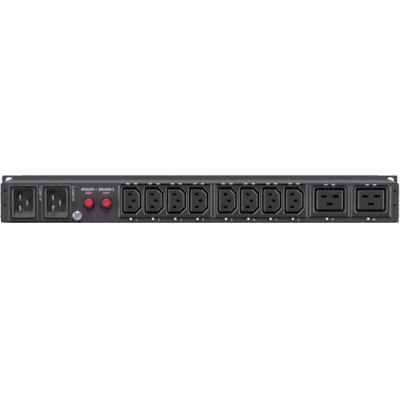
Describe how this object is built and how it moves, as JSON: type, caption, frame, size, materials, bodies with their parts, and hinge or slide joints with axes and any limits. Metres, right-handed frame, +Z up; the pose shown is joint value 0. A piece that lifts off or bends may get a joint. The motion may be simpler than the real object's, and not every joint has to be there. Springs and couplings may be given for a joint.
{
  "type": "rack power distribution unit",
  "caption": "Low wide steel rack case with blade inlets, red push-to-reset breakers, lamp-marked small and large power outlets on one face, and slotted ears on the other.",
  "frame": {"origin": "under the middle of the whole unit, on the plane of its underside", "axes": "+X along the outlet panel to the right as seen facing the outlets, -Y out of the outlet panel, +Z up"},
  "size_m": [0.4826, 0.2224, 0.044],
  "materials": {
    "case_steel": "satin black powder coat on folded steel",
    "black_screw_steel": "black plated screw steel",
    "plated_steel": "zinc plated steel",
    "black_moulding": "black moulded nylon",
    "plated_blade": "nickel plated brass",
    "contact_brass": "pressed brass",
    "lamp_lens": "pale green lens",
    "red_button": "red moulded button",
    "black_nut": "black ring nut",
    "breaker_case": "black moulded breaker case",
    "board_laminate": "green glass fibre laminate",
    "relay_case": "blue-black relay case",
    "transformer_tape": "yellow winding tape",
    "capacitor_can": "sleeved aluminium can"
  },
  "bodies": {
    "case": {"bank_1_earth_bar": "contact_brass", "bank_1_line_contacts": "contact_brass", "bank_1_neutral_bar": "contact_brass", "bank_2_earth_bar": "contact_brass", "bank_2_line_contacts": "contact_brass", "bank_2_neutral_bar": "contact_brass", "base_pan": "case_steel", "board_screws": "plated_steel", "board_standoffs": "plated_steel", "breaker_1_body": "breaker_case", "breaker_1_nut": "black_nut", "breaker_2_body": "breaker_case", "breaker_2_nut": "black_nut", "breaker_strips": "contact_brass", "cover_screws": "black_screw_steel", "ear_clinch_nuts": "plated_steel", "ear_screws": "black_screw_steel", "filter_capacitors": "capacitor_can", "ground_nut": "plated_steel", "ground_screw": "plated_steel", "ground_washer": "plated_steel", "inlet_1_earth_pin": "plated_blade", "inlet_1_line_pin": "plated_blade", "inlet_1_neutral_pin": "plated_blade", "inlet_1_shell": "black_moulding", "inlet_1_strips": "contact_brass", "inlet_2_earth_pin": "plated_blade", "inlet_2_line_pin": "plated_blade", "inlet_2_neutral_pin": "plated_blade", "inlet_2_shell": "black_moulding", "inlet_2_strips": "contact_brass", "lamp_board": "board_laminate", "large_1_contacts": "contact_brass", "large_2_contacts": "contact_brass", "large_outlet_1": "black_moulding", "large_outlet_2": "black_moulding", "outlet_bank_1": "black_moulding", "outlet_bank_2": "black_moulding", "outlet_lamp_1": "lamp_lens", "outlet_lamp_10": "lamp_lens", "outlet_lamp_2": "lamp_lens", "outlet_lamp_3": "lamp_lens", "outlet_lamp_4": "lamp_lens", "outlet_lamp_5": "lamp_lens", "outlet_lamp_6": "lamp_lens", "outlet_lamp_7": "lamp_lens", "outlet_lamp_8": "lamp_lens", "outlet_lamp_9": "lamp_lens", "outlet_relays": "relay_case", "power_board": "board_laminate", "rack_ear_left": "case_steel", "rack_ear_right": "case_steel", "supply_transformer": "transformer_tape", "top_cover": "case_steel", "transfer_relays": "relay_case"},
    "reset_button_1": {"breaker_1_button": "red_button"},
    "reset_button_2": {"breaker_2_button": "red_button"}
  },
  "joints": [
    {"name": "reset_1", "type": "slide", "parent": "case", "child": "reset_button_1", "axis": [0, -1, 0], "range_m": [0, 0.0035]},
    {"name": "reset_2", "type": "slide", "parent": "case", "child": "reset_button_2", "axis": [0, -1, 0], "range_m": [0, 0.0035]}
  ]
}
